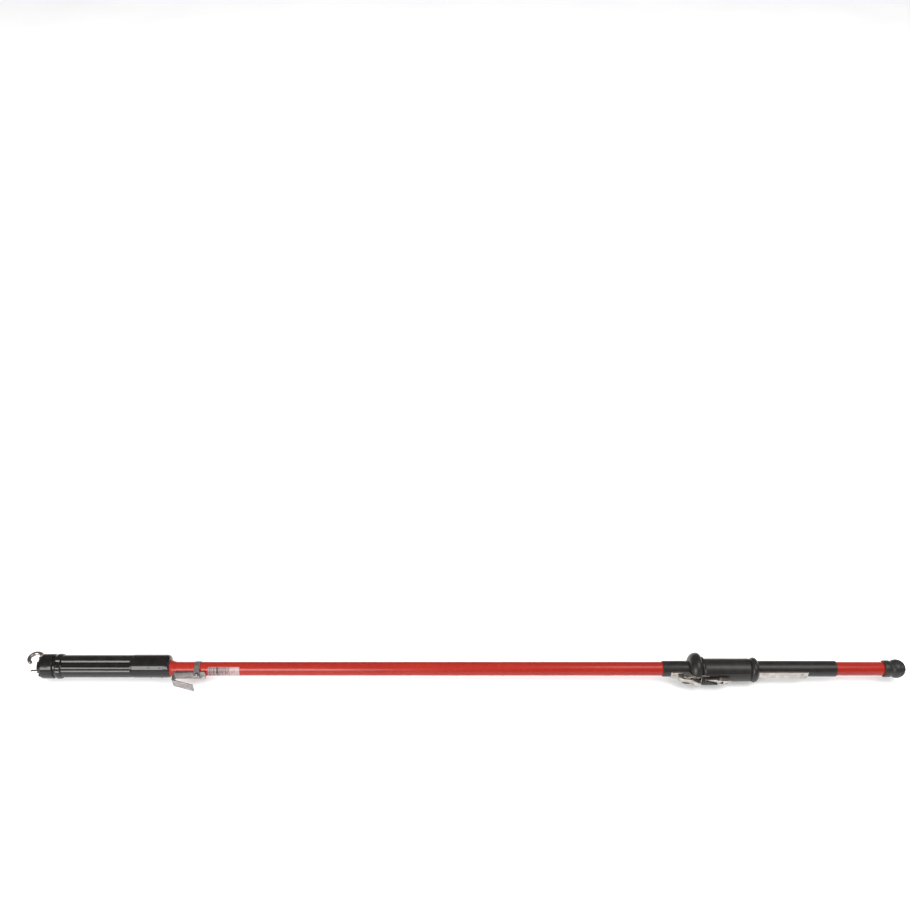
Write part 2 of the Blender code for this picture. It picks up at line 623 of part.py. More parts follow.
def make_grip():
    start, end = GRIP_X
    outer = [(start, 0.0), (start, GRIP_R - 1.0), (start + 2.5, GRIP_R), (end, GRIP_R), (end, 0.0)]
    grip = turned("handle_grip", outer, material=BLACK, parent=SLIDER_FRAME, y=GRIP_ECC)
    cutters = handle_bores(start, end)
    top = GRIP_ECC + GRIP_R
    cutters.append(cylinder("drive_bore", (DRIVE_X, 10, 0), (DRIVE_X, 40, 0), DRIVE_PIN_R + GAP, steps=20))
    cutters.append(cylinder("drive_recess", (DRIVE_X, top - 3.4, 0), (DRIVE_X, 40, 0), 5.8, steps=24))
    for y, z in BRACKET_SCREWS:
        cutters.append(cylinder("screw_bore", (540, y, z), (566, y, z), 1.9, steps=12))
    cutters.append(cylinder("bracket_bore", (604.0, -40, 0), (604.0, -24.5, 0), 1.9, steps=12))
    cut(grip, *cutters)
    start, end = REAR_RING_X
    bulge = arc((REAR_CREST_X, REAR_RING_R - REAR_ROUND), REAR_ROUND, 152, 27, 6)
    outer = [(start, 0.0), (start, GRIP_R)] + bulge + [(end, 23.2), (end, 0.0)]
    ring = turned("handle_rear_ring", outer, material=BLACK, parent=SLIDER_FRAME, y=GRIP_ECC)
    cut(ring, *handle_bores(start, end))


def make_drive():
    top = GRIP_ECC + GRIP_R
    pin = cylinder("drive_pin", (DRIVE_X, top - 3.1, 0), (DRIVE_X, top - 0.6, 0), 5.4, STEEL,
                   SLIDER_FRAME, steps=24)
    shank = cylinder("shank", (DRIVE_X, -6.0, 0), (DRIVE_X, top - 2.0, 0), DRIVE_PIN_R, steps=20)
    socket = cylinder("socket", (DRIVE_X, top - 1.9, 0), (DRIVE_X, top + 2, 0), 2.4, steps=6)
    cut(pin, shank, operation="UNION")
    cut(pin, socket)
    start, end = DRIVE_X - 18.5, DRIVE_X + 18.5
    block = turned("rod_coupling",
                   [(start, 11.0), (start + 1.4, 12.4), (end - 1.4, 12.4), (end, 11.0)],
                   [(start, ROD_R + 0.1), (end, ROD_R + 0.1)], material=STEEL,
                   parent=SLIDER_FRAME, steps=32)
    cut(block, cylinder("cross_bore", (DRIVE_X, -7.0, 0), (DRIVE_X, 20, 0), DRIVE_PIN_R + 0.1, steps=20))
    cylinder("operating_rod", (-834.0, 0, 0), (DRIVE_X - 6.5, 0, 0), ROD_R, RED, SLIDER_FRAME)
    start, end = -862.0, -812.0
    coupling = turned("hook_coupling",
                      [(start, COUPLING_R - 1.0), (start + 1.0, COUPLING_R), (end - 1.0, COUPLING_R),
                       (end, COUPLING_R - 1.0)],
                      [(start, HOOK_R + 0.1), (end, HOOK_R + 0.1)], material=STEEL,
                      parent=SLIDER_FRAME, steps=32)
    places = {"coupling_screw_front": -850.0, "coupling_screw_rear": -823.0}
    bores = [cylinder("screw_bore", (x, 0, 0), (x, 0, 20), 1.9, steps=12) for x in places.values()]
    cut(coupling, *bores)
    for name, x in places.items():
        cylinder(name, (x, 0, HOOK_R + 0.2), (x, 0, COUPLING_R - 0.4), 1.6, STEEL, SLIDER_FRAME, steps=12)


def make_hook():
    bow = arc((BOW_X, BOW_Y), BOW_R, BOW_TIP_ANGLE, BOW_NECK_ANGLE, 16)
    # From the bow the neck runs straight, then bends into the shank on the pole's axis.
    heading = math.radians(90 - BOW_NECK_ANGLE)
    straight = 9.0
    x = bow[-1][0] + straight * math.cos(heading)
    y = bow[-1][1] - straight * math.sin(heading)
    bend_r = y / (1 - math.cos(heading))
    centre = (x + bend_r * math.sin(heading), bend_r)
    bend = arc(centre, bend_r, 270 - math.degrees(heading), 270, 6)
    path = bow + bend + [(SHANK_END, 0.0)]
    points = [(px, py, 0.0) for px, py in path]
    wire("hook", points, HOOK_R, STEEL, SLIDER_FRAME, resolution=4)


# ---------------------------------------------------------------- latch and trigger

def make_latch_bracket():
    side = filleted([(504.5, -18.0), (504.5, -33.0), (510.5, -36.0), (519.5, -36.0), (529.0, -31.0),
                     (549.0, -31.0), (549.0, -18.0)], [3.0, 2.0, 3.0, 4.0, 3.0, 0, 0])
    half, outer = 1.0, 12.1
    bracket = outline_solid("latch_bracket", [side], half, at=outer - half, material=STEEL,
                            parent=SLIDER_FRAME)
    other = outline_solid("other_cheek", [side], half, at=-(outer - half))
    floor = box("floor", (523.0, -24.6, -outer + 0.2), (549.0, CHANNEL_FLOOR - GAP, outer - 0.2))
    web = box("web", (547.4, -30.8, -outer + 0.2), (548.9, CHANNEL_FLOOR - GAP - 0.1, outer - 0.2))
    cut(bracket, floor, other, web, operation="UNION")
    x, y = LATCH_PIVOT
    cutters = [cylinder("pin_bore", (x, y, -20), (x, y, 20), 2.6, steps=20)]
    for screw_y, screw_z in BRACKET_SCREWS:
        cutters.append(cylinder("screw_bore", (540, screw_y, screw_z), (552, screw_y, screw_z), 1.9,
                                steps=12))
    cut(bracket, *cutters)
    for name, (screw_y, screw_z) in zip(("bracket_screw_upper", "bracket_screw_lower"), BRACKET_SCREWS):
        screw = cylinder(name, (545.0, screw_y, screw_z), (547.1, screw_y, screw_z), 2.0, STEEL,
                         SLIDER_FRAME, steps=12)
        shank = cylinder("shank", (546.0, screw_y, screw_z), (565.0, screw_y, screw_z), 1.6, steps=12)
        cut(screw, shank, operation="UNION")
    pin = cylinder("latch_pin", (x, y, -13.6), (x, y, 12.9), 2.3, STEEL, SLIDER_FRAME, steps=20)
    head = cylinder("head", (x, y, 12.4), (x, y, 13.9), 3.8, steps=20)
    cut(pin, head, operation="UNION")
    wire("latch_spring", coil(x, y, 6.4, 9.3, 3.6, 2.5), 0.42, STEEL, SLIDER_FRAME)


def make_latch_pawl():
    x, y = LATCH_PIVOT
    outline = filleted(
        [(495.0, -23.6), (498.4, -23.3), (499.0, -21.2), (502.4, -21.2), (503.6, -23.8), (519.0, -23.6),
         (524.0, -29.0), (538.2, -40.0), (539.4, -35.4), (544.0, -35.4), (543.6, -46.4), (540.0, -49.0),
         (524.5, -38.4), (518.0, -36.0), (505.0, -34.4), (500.0, -31.2), (495.0, -31.2)],
        [2.4, 0.6, 0.4, 0.8, 0.8, 3.5, 3.0, 1.2, 1.4, 1.4, 1.6, 4.0, 5.0, 4.0, 4.0, 3.0, 3.0])
    pawl = outline_solid("latch_pawl", [outline], 5.5, material=STEEL, parent=LATCH_FRAME)
    cut(pawl, cylinder("pin_bore", (x, y, -20), (x, y, 20), 2.6, steps=20))


def make_trigger():
    x, y = TRIGGER_PIVOT
    side = filleted([(553.0, -36.0), (584.0, -33.2), (594.0, -32.6), (594.0, -38.8), (553.0, -38.8)],
                    [0.6, 4.0, 2.6, 2.6, 0.6])
    lever = outline_solid("trigger_lever", [side], 6.6, material=STEEL, parent=TRIGGER_FRAME)
    cutters = [cylinder("pin_bore", (x, y, -20), (x, y, 20), 2.3, steps=20)]
    for z in (1, -1):
        cutters.append(box("side", (583.5, -50, 3.9 if z > 0 else -9), (600, -20, 9 if z > 0 else -3.9)))
    cut(lever, *cutters)
    plan = [(546.8, 7.0), (556.0, 7.0), (583.5, -4.4), (583.5, -7.0), (546.8, -7.0)]
    top, low = -39.1, -41.6
    pad = outline_solid("trigger_pad", [filleted(plan, [1.2, 2.0, 1.0, 1.0, 1.2])], (top - low) / 2,
                        "XZ", (top + low) / 2, BLACK, TRIGGER_FRAME)
    lip = box("lip", (546.5, -40.0, -6.8), (548.9, -36.4, 6.8))
    cut(pad, lip, operation="UNION")


def make_trigger_bracket():
    x, y = TRIGGER_PIVOT
    side = filleted([(585.6, -31.0), (596.5, -30.4), (612.4, -30.4), (612.4, -41.0), (598.0, -41.4),
                     (585.6, -39.4)], [2.0, 2.0, 1.0, 4.0, 4.0, 2.5])
    bracket = outline_solid("trigger_bracket", [side], 6.5, material=STEEL, parent=SLIDER_FRAME)
    cutters = [box("lever_gap", (580, -50, -4.2), (595.6, -20, 4.2)),
               cylinder("pin_bore", (x, y, -20), (x, y, 20), 2.3, steps=20),
               cylinder("screw_bore", (604, -50, 0), (604, -20, 0), 1.9, steps=12),
               cylinder("screw_recess", (604, -50, 0), (604, -38.2, 0), 3.9, steps=20)]
    cut(bracket, *cutters)
    pin = cylinder("trigger_pin", (x, y, -7.4), (x, y, 9.8), 2.0, STEEL, SLIDER_FRAME, steps=16)
    head = cylinder("head", (x, y, -8.4), (x, y, -7.0), 3.2, steps=16)
    cut(pin, head, operation="UNION")
    wire("trigger_spring", coil(x, y, 7.2, 9.6, 2.9, 2.5), 0.36, STEEL, SLIDER_FRAME)
    screw = cylinder("trigger_bracket_screw", (604, -40.4, 0), (604, -38.5, 0), 3.5, STEEL,
                     SLIDER_FRAME, steps=20)
    shank = cylinder("shank", (604, -39.5, 0), (604, -25.0, 0), 1.6, steps=12)
    cut(screw, shank, operation="UNION")


# ---------------------------------------------------------------- the whole stick

def main():
    make_crown()
    make_head_body()
    make_head_sleeve()
    make_head_hardware()
    make_head_flare()
    make_pole()
    make_guide_tube()
    make_rail()
    make_hang_hook()
    make_hose_clamp()
    make_label()
    make_butt_cap()
    make_guard()
    make_grip()
    make_drive()
    make_hook()
    make_latch_bracket()
    make_latch_pawl()
    make_trigger()
    make_trigger_bracket()


main()
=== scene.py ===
"""Looks of the clamp stick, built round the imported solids: materials, fine geometry, light, camera."""

import json
import math

import bmesh
import bpy
from mathutils import Matrix, Vector


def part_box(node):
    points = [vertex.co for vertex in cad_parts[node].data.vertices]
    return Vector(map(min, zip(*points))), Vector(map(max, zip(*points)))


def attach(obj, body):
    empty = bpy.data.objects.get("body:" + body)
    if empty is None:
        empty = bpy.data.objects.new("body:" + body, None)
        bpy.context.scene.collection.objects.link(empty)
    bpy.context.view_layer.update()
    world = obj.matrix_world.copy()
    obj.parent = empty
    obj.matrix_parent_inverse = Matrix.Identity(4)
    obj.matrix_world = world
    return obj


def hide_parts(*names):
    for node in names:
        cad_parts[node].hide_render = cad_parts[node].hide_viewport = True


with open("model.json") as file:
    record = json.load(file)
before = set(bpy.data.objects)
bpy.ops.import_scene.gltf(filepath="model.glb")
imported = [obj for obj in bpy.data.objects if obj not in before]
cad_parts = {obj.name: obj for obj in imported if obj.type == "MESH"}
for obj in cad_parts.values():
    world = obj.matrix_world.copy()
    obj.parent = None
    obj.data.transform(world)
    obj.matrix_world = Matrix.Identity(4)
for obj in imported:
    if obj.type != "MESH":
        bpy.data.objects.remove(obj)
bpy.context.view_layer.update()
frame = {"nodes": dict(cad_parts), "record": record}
MM = 0.001
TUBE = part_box("pole_tube")
AXIS = Vector((0.0, (TUBE[0].y + TUBE[1].y) / 2, (TUBE[0].z + TUBE[1].z) / 2))
POLE_R = (TUBE[1].z - TUBE[0].z) / 2 / MM
BODY_OF = {node: body for body, nodes in frame["record"]["behaviour"]["bodies"].items() for node in nodes}
SLOT_OF = {part["node"]: part["material_slot"] for part in frame["record"]["subparts"]}

# The stick's own measures, in millimetres about the pole's axis.
HEAD_ECC = 7.6
NOSE, CROWN_FRONT, CROWN_END, BODY_END = -992.9, -989.8, -953.4, -744.5
SLEEVE_START, SLEEVE_END, SLEEVE_ROUND = -770.0, -683.5, 9.0
FLAT_TURN, FLAT_HALF, FLAT_END = 41.25, 8.75, -697.0
FLARE_ECC, FLARE_R = 2.6, 20.0
COLLAR_R, RING_R, BODY_R, SLEEVE_R = 28.6, 28.8, 25.7, 26.4
SLOT_HALF, SLOT_FLOOR, SLOT_END = 6.0, -5.7, -866.5
MOUTH = CROWN_FRONT + 7.0
CROWN_FLAT_TILT, CROWN_FLAT_X, CROWN_FLAT_SHARE = 37.0, (-984.5, -963.0), 0.965
CROWN_SCREW_Y, CROWN_SCREW_Z = -5.5, 11.0
PRONG_Y, PRONG_R = -8.5, 4.4
FLUTE_X, FLUTE_RISE = (-947.0, -773.5), 3.0
GRIP_ECC, GRIP_R, GRIP_X = -3.5, 26.4, (555.2, 661.5)
GROOVE_X, GROOVE_TURN, GROOVE_DEEP = (586.0, 661.0), (26.0, 30.0), 0.55
REAR_X, REAR_R, REAR_CREST, REAR_ROUND = (661.8, 680.5), 28.6, 671.8, 9.0
GUARD_X, GUARD_RING_R, GUARD_BULGE_R = 539.1, 18.8, 18.4
GUARD_FALL_X, GUARD_FALL_R, FLANGE_R = 10.6, 9.6, 27.8
BRACKET_SCREW_Y, BRACKET_SCREW_Z, SCREW_BORE_R = -27.6, 7.6, 1.9
DRIVE_X = 618.5
DRIVE_SLOT = ((612.5, 2.0, -3.3), (724.5, 30.0, 3.3))
BORE_R, CHANNEL_HALF, CHANNEL_FLOOR = 18.7, 10.4, -22.3
GUIDE_X, GUIDE_R = (460.8, 863.9), (16.2, 18.25)
CAP_START, CAP_FLOOR = 975.0, 998.3


# ---------------------------------------------------------------- materials

def surface(name, dark, light, rough, spread=0.1, metallic=0.0, scale=120.0, stretch=(1, 1, 1),
            bump=0.0, specular=0.5):
    """A finish whose colour and gloss wander between two values over the surface."""
    material = bpy.data.materials.new(name)
    material.use_nodes = True
    nodes, links = material.node_tree.nodes, material.node_tree.links
    shader = nodes["Principled BSDF"]
    shader.inputs["Metallic"].default_value = metallic
    shader.inputs["Specular IOR Level"].default_value = specular
    place = nodes.new("ShaderNodeTexCoord")
    stretched = nodes.new("ShaderNodeMapping")
    stretched.inputs["Scale"].default_value = stretch
    links.new(place.outputs["Object"], stretched.inputs["Vector"])
    fine, broad = nodes.new("ShaderNodeTexNoise"), nodes.new("ShaderNodeTexNoise")
    for noise, size, detail in ((fine, scale * 9, 4), (broad, scale, 3)):
        noise.inputs["Scale"].default_value = size
        noise.inputs["Detail"].default_value = detail
        links.new(stretched.outputs["Vector"], noise.inputs["Vector"])
    ramp = nodes.new("ShaderNodeValToRGB")
    ramp.color_ramp.elements[0].position, ramp.color_ramp.elements[1].position = 0.3, 0.7
    ramp.color_ramp.elements[0].color = (*dark, 1)
    ramp.color_ramp.elements[1].color = (*light, 1)
    links.new(broad.outputs["Fac"], ramp.inputs["Fac"])
    links.new(ramp.outputs["Color"], shader.inputs["Base Color"])
    gloss = nodes.new("ShaderNodeMapRange")
    gloss.inputs["To Min"].default_value = rough - spread
    gloss.inputs["To Max"].default_value = rough + spread
    links.new(fine.outputs["Fac"], gloss.inputs["Value"])
    links.new(gloss.outputs["Result"], shader.inputs["Roughness"])
    if bump:
        relief = nodes.new("ShaderNodeBump")
        relief.inputs["Strength"].default_value = 0.5
        relief.inputs["Distance"].default_value = bump * MM
        links.new(fine.outputs["Fac"], relief.inputs["Height"])
        links.new(relief.outputs["Normal"], shader.inputs["Normal"])
    return material


FINISH = {
    "black_plastic": surface("black_plastic", (0.005, 0.004, 0.004), (0.010, 0.009, 0.008), 0.22,
                             0.04, scale=60, bump=0.004, specular=0.3),
    "black_rubber": surface("black_rubber", (0.008, 0.008, 0.008), (0.015, 0.015, 0.014), 0.42,
                            0.08, scale=80, bump=0.02, specular=0.35),
    "red_fibreglass": surface("red_fibreglass", (0.21, 0.010, 0.006), (0.25, 0.014, 0.007), 0.27,
                              0.03, scale=40, stretch=(0.15, 1, 1), specular=0.25),
    "steel": surface("steel", (0.30, 0.27, 0.25), (0.46, 0.43, 0.40), 0.34, 0.12, 1.0, scale=90,
                     bump=0.015),
    "galvanised_steel": surface("galvanised_steel", (0.20, 0.18, 0.175), (0.32, 0.30, 0.29), 0.48,
                                0.12, 0.9, scale=150, bump=0.03),
    "nylon": surface("nylon", (0.62, 0.60, 0.55), (0.72, 0.70, 0.66), 0.45, bump=0.01),
    "grey_foam": surface("grey_foam", (0.25, 0.25, 0.24), (0.40, 0.40, 0.39), 0.85, scale=300, bump=0.1),
    "label_film": surface("label_film", (0.20, 0.13, 0.13), (0.25, 0.16, 0.165), 0.35, scale=50),
}
GRIP_BLACK = surface("grip_black", (0.007, 0.006, 0.006), (0.013, 0.011, 0.010), 0.38, 0.07, scale=70,
                     bump=0.015, specular=0.35)
LABEL_INK = surface("label_ink", (0.020, 0.010, 0.012), (0.045, 0.025, 0.027), 0.45, scale=200)
LABEL_CLEAR = surface("label_clear", (0.26, 0.175, 0.175), (0.31, 0.21, 0.205), 0.35, scale=50)


# ---------------------------------------------------------------- shape helpers, about the pole's axis

def add_piece(name, geometry, node=None, angle=35):
    """A piece from geometry in metres about the pole's axis. With a node, it stands in for that node."""
    mesh = bpy.data.meshes.new(name)
    geometry.to_mesh(mesh)
    geometry.free()
    mesh.transform(Matrix.Translation(AXIS))
    piece = bpy.data.objects.new(name, mesh)
    bpy.context.scene.collection.objects.link(piece)
    if node:
        finish_piece(piece, node, angle=angle)
    return piece


def finish_piece(piece, node, material=None, angle=35, stands_in=True):
    """Gives the piece its body and the material named by the node's material slot. Edges sharper than the
    angle in degrees stay sharp.
    """
    piece.data.materials.clear()
    piece.data.materials.append(material or FINISH[SLOT_OF[node]])
    piece.data.shade_smooth()
    piece.data.set_sharp_from_angle(angle=math.radians(angle))
    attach(piece, BODY_OF[node])
    if stands_in:
        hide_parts(node)


def rounded(points, radius, steps=4):
    """Rounds every corner of an open (x, r) profile, less where its sides are short."""
    result = [points[0]]
    for before, here, after in zip(points, points[1:], points[2:]):
        here_v = Vector(here)
        a, b = Vector(before) - here_v, Vector(after) - here_v
        if a.length < 1e-4 or b.length < 1e-4:
            continue
        bend = math.pi - a.angle(b)
        if bend < 0.15:
            result.append(here)
            continue
        reach = min(radius * math.tan(bend / 2), 0.45 * a.length, 0.45 * b.length)
        first, last = here_v + a.normalized() * reach, here_v + b.normalized() * reach
        for k in range(steps + 1):
            t = k / steps
            point = first * (1 - t) ** 2 + here_v * 2 * t * (1 - t) + last * t ** 2
            result.append(tuple(point))
    return result + [points[-1]]


def lofted(profile, y=0.0, steps=96, angles=None, depth=None):
    """A body turned about X through y. depth(x, angle) is taken from its outside; angle 0 faces -Y."""
    geometry = bmesh.new()
    turns = angles or [360.0 * k / steps for k in range(steps)]
    rings = []
    for x, r in profile:
        if r < 1e-6:
            rings.append([geometry.verts.new((x * MM, y * MM, 0.0))])
            continue
        ring = []
        for degrees in turns:
            t = math.radians(degrees)
            size = r - (depth(x, degrees) if depth and r > 12.0 else 0.0)
            ring.append(geometry.verts.new((x * MM, (y - size * math.cos(t)) * MM,
                                            size * math.sin(t) * MM)))
        rings.append(ring)
    for first, second in zip(rings, rings[1:]):
        count = max(len(first), len(second))
        for k in range(count):
            nxt = (k + 1) % count
            if len(first) == 1:
                geometry.faces.new((first[0], second[nxt], second[k]))
            elif len(second) == 1:
                geometry.faces.new((first[k], first[nxt], second[0]))
            else:
                geometry.faces.new((first[k], first[nxt], second[nxt], second[k]))
    for ring in (rings[0], rings[-1]):
        if len(ring) > 1 and profile[0] != profile[-1]:
            geometry.faces.new(ring)
    if profile[0] == profile[-1]:
        bmesh.ops.remove_doubles(geometry, verts=geometry.verts, dist=1e-7)
    bmesh.ops.recalc_face_normals(geometry, faces=geometry.faces)
    return geometry


def box_geometry(low, high, turn=0.0, about=(0.0, 0.0)):
    """A box between two corners, turned about an X line through (y, z)."""
    low, high = Vector(low) * MM, Vector(high) * MM
    geometry = bmesh.new()
    bmesh.ops.create_cube(geometry, size=1.0)
    centre = Vector((0.0, about[0] * MM, about[1] * MM))
    place = (Matrix.Translation(centre) @ Matrix.Rotation(turn, 4, "X") @ Matrix.Translation(-centre)
             @ Matrix.Translation((low + high) / 2) @ Matrix.Diagonal((*(high - low), 1.0)))
    bmesh.ops.transform(geometry, matrix=place, verts=geometry.verts)
    return geometry


def bar_geometry(start, end, radius, steps=32):
    """A round bar between two points."""
    start, end = Vector(start) * MM, Vector(end) * MM
    turn = (end - start).to_track_quat("Z", "Y").to_matrix().to_4x4()
    geometry = bmesh.new()
    bmesh.ops.create_cone(geometry, cap_ends=True, segments=steps, radius1=radius * MM,
                          radius2=radius * MM, depth=(end - start).length,
                          matrix=Matrix.Translation((start + end) / 2) @ turn)
    return geometry


def cut(piece, *cutters):
    """Takes the cutters from a piece, and removes them."""
    tools = [add_piece("cutter", geometry) for geometry in cutters]
    for tool in tools:
        modifier = piece.modifiers.new("cut", "BOOLEAN")
        modifier.object = tool
        modifier.solver = "EXACT"
    bake(piece)
    for tool in tools:
        bpy.data.objects.remove(tool, do_unlink=True)


def bake(piece):
    """Replaces the piece's mesh by what its modifiers make of it."""
    bpy.context.view_layer.update()
    evaluated = piece.evaluated_get(bpy.context.evaluated_depsgraph_get())
    mesh = bpy.data.meshes.new_from_object(evaluated)
    piece.modifiers.clear()
    piece.data = mesh


def soften(piece, width, angle=38):
    """Rounds the edges that are sharper than the angle in degrees."""
    edge = piece.modifiers.new("edge", "BEVEL")
    edge.width = width * MM
    edge.segments = 2
    edge.limit_method = "ANGLE"
    edge.angle_limit = math.radians(angle)
    bake(piece)


def eased(node, width):
    """The CAD node again, with its flat faces made whole and its edges rounded."""
    geometry = bmesh.new()
    geometry.from_mesh(frame["nodes"][node].data)
    bmesh.ops.remove_doubles(geometry, verts=geometry.verts, dist=2e-6)
    bmesh.ops.dissolve_limit(geometry, angle_limit=math.radians(0.6), verts=geometry.verts,
                             edges=geometry.edges)
    mesh = bpy.data.meshes.new(node + "_fine")
    geometry.to_mesh(mesh)
    geometry.free()
    piece = bpy.data.objects.new(node + "_fine", mesh)
    bpy.context.scene.collection.objects.link(piece)
    soften(piece, width, 40)
    finish_piece(piece, node, angle=32)


def arc(centre, radius, start, end, steps):
    """Points round an arc, with its angles in degrees."""
    turns = [math.radians(start + (end - start) * i / steps) for i in range(steps + 1)]
    return [(centre[0] + radius * math.cos(t), centre[1] + radius * math.sin(t)) for t in turns]


# ---------------------------------------------------------------- head

def ramp(value, points):
    """Straight lines through (value, result) points."""
    for (a, first), (b, second) in zip(points, points[1:]):
        if value <= b:
            return first + (second - first) * max(0.0, value - a) / (b - a)
    return points[-1][1]


# (degrees from -Y, depth) round one half. Each flute's lip is chamfered, so that it catches the light
# as a thin line.
FLUTE_DEPTH = ((0, 0), (19.5, 0.0), (26.0, 1.1), (36.8, 0.8), (37.4, 0), (43.5, 0), (44.0, 2.9),
               (71.4, 6.4), (72.0, 2.3), (79.2, 0), (180, 0))
# More turns where the flutes' walls curve.
FLUTE_TURNS = sorted({a * s % 360 for s in (1, -1) for a in
                      [5 * k for k in range(37)] + [turn for turn, _ in FLUTE_DEPTH]
                      + [22.5, 28, 33, 41, 48, 52.5, 57, 62.5, 67, 77]})


def flute_depth(x, degrees):
    """The flutes run out in a quarter round at both ends."""
    side = min(degrees, 360 - degrees)
    along = min(1.0, max(0.0, min(x - FLUTE_X[0], FLUTE_X[1] - x) / FLUTE_RISE))
    return ramp(side, FLUTE_DEPTH) * math.sqrt(along * (2 - along))


def stations(profile, extra):
    """The profile with stations added at the extra x places, so that flutes and flats can end there."""
    result = [profile[0]]
    for first, second in zip(profile, profile[1:]):
        inside = [x for x in extra if first[0] + 1e-3 < x < second[0] - 1e-3]
        for x in inside:
            t = (x - first[0]) / (second[0] - first[0])
            result.append((x, first[1] + (second[1] - first[1]) * t))
        result.append(second)
    return result


def hook_slot(start, end):
    return box_geometry((start, SLOT_FLOOR, -SLOT_HALF), (end, 60.0, SLOT_HALF))


def make_crown():
    outer = [(NOSE, 0.0), (NOSE, 16.4), (CROWN_FRONT, 16.4), (CROWN_FRONT, 24.0), (-980.5, COLLAR_R),
             (-955.4, COLLAR_R), (CROWN_END, COLLAR_R - 1.6), (CROWN_END, 0.0)]
    crown = add_piece("head_crown_fine", lofted(rounded(outer, 1.2), HEAD_ECC, 128))
    cutters = [hook_slot(CROWN_FRONT - 5, CROWN_END + 5),
               box_geometry((CROWN_FRONT - 5, -40, -SLOT_HALF), (MOUTH, 40, SLOT_HALF)),
               box_geometry((CROWN_FRONT - 5, HEAD_ECC - 6, -40), (MOUTH, HEAD_ECC + 6, 40)),
               bar_geometry((MOUTH - 5, PRONG_Y, 0), (-971.2, PRONG_Y, 0), PRONG_R + 0.3)]
    flat = COLLAR_R * CROWN_FLAT_SHARE
    for side in (1, -1):
        low = (CROWN_FLAT_X[0], HEAD_ECC - 20, flat if side > 0 else -40)
        high = (CROWN_FLAT_X[1], HEAD_ECC + 20, 40 if side > 0 else -flat)
        cutters.append(box_geometry(low, high, math.radians(CROWN_FLAT_TILT) * side, (HEAD_ECC, 0.0)))
        y, z = CROWN_SCREW_Y, side * CROWN_SCREW_Z
        cutters.append(bar_geometry((MOUTH - 5, y, z), (CROWN_END + 5, y, z), 2.3))
        cutters.append(bar_geometry((MOUTH - 5, y, z), (MOUTH + 5.0, y, z), 4.0))
    cut(crown, *cutters)
    soften(crown, 0.45)
    finish_piece(crown, "head_crown")


def make_head_body():
    front = CROWN_END + 0.3
    outer = [(front, 0.0), (front, 25.3), (-948.4, 25.3), (-947.8, 27.6), (-945.5, 28.6),
             (-941.0, RING_R), (-936.6, 28.4), (-934.2, 27.2), (-933.6, BODY_R),
             (SLEEVE_START - 0.3, BODY_R), (SLEEVE_START - 0.3, 23.9), (BODY_END, 23.9), (BODY_END, 0.0)]
    ends = [FLUTE_X[0] + step for step in (0, 0.3, 0.8, 1.6, 2.4, 3.1)]
    ends += [FLUTE_X[1] - FLUTE_RISE + step for step in (0, 0.7, 1.4, 2.2, 2.7, 3.0)]
    profile = stations(rounded(outer, 0.8, 3), ends)
    geometry = lofted(profile, HEAD_ECC, angles=FLUTE_TURNS, depth=flute_depth)
    body = add_piece("head_body_fine", geometry)
    cut(body, hook_slot(front - 5, SLOT_END),
        bar_geometry((SLOT_END - 1, 0, 0), (BODY_END + 5, 0, 0), 9.3))
    finish_piece(body, "head_body", angle=7)


def sleeve_depth(x, degrees):
    """A long flat on each side, and a rear edge that is rounder where the sleeve is thick."""
    off = min(degrees, 360 - degrees) - FLAT_TURN
    if x < FLAT_END and abs(off) < FLAT_HALF:
        return SLEEVE_R * (1 - math.cos(math.radians(FLAT_HALF)) / math.cos(math.radians(off)))
    along = max(0.0, 1 - (SLEEVE_END - x) / SLEEVE_ROUND)
    thick = (1 - math.cos(math.radians(degrees))) / 2
    return SLEEVE_ROUND * thick * (1 - math.sqrt(max(0.0, 1 - along ** 2))) if along > 0 else 0.0


def make_head_sleeve():
    side = [(SLEEVE_START, 24.2), (SLEEVE_START, SLEEVE_R), (SLEEVE_END - SLEEVE_ROUND, SLEEVE_R)]
    rear = [(SLEEVE_END - SLEEVE_ROUND * (1 - k / 10), SLEEVE_R) for k in range(1, 11)]
    inside = [(SLEEVE_END, 8.0), (BODY_END + 0.3, 8.0), (BODY_END + 0.3, 24.2), (SLEEVE_START, 24.2)]
    profile = stations(rounded(side, 0.8) + rear + inside, (FLAT_END - 0.3, FLAT_END + 0.1))
    sleeve = add_piece("head_sleeve_fine", lofted(profile, HEAD_ECC, 144, depth=sleeve_depth))
    cut(sleeve, bar_geometry((BODY_END - 1, 0, 0), (SLEEVE_END + 5, 0, 0), POLE_R + 0.3, 96),
        bar_geometry((SLEEVE_END - 6, FLARE_ECC, 0), (SLEEVE_END + 5, FLARE_ECC, 0), FLARE_R + 0.3, 96))
    finish_piece(sleeve, "head_sleeve", angle=8)


def make_flare(steps=96):
    start, lip, end = SLEEVE_END - 5.6, SLEEVE_END + 0.2, -671.5
    rings = [(start, FLARE_ECC, FLARE_R), (lip - 0.5, FLARE_ECC, FLARE_R), (lip, FLARE_ECC, FLARE_R - 0.1)]
    for i in range(1, 15):
        rest = (1 - i / 14) ** 1.7
        radius = POLE_R + 0.7 + (FLARE_R - 0.9 - POLE_R) * rest
        rings.append((lip + (end - lip) * i / 14, FLARE_ECC * rest, radius))
    rings += [(end + 0.1, 0.0, POLE_R + 0.3), (start, 0.0, POLE_R + 0.3)]
    geometry = bmesh.new()
    loops = [[geometry.verts.new((x * MM, (y + r * math.cos(2 * math.pi * k / steps)) * MM,
                                  r * math.sin(2 * math.pi * k / steps) * MM)) for k in range(steps)]
             for x, y, r in rings]
    for first, second in zip(loops, loops[1:] + loops[:1]):
        for k in range(steps):
            nxt = (k + 1) % steps
            geometry.faces.new((first[k], first[nxt], second[nxt], second[k]))
    bmesh.ops.recalc_face_normals(geometry, faces=geometry.faces)
    add_piece("head_flare_fine", geometry, "head_flare")


# ---------------------------------------------------------------- hook and prong

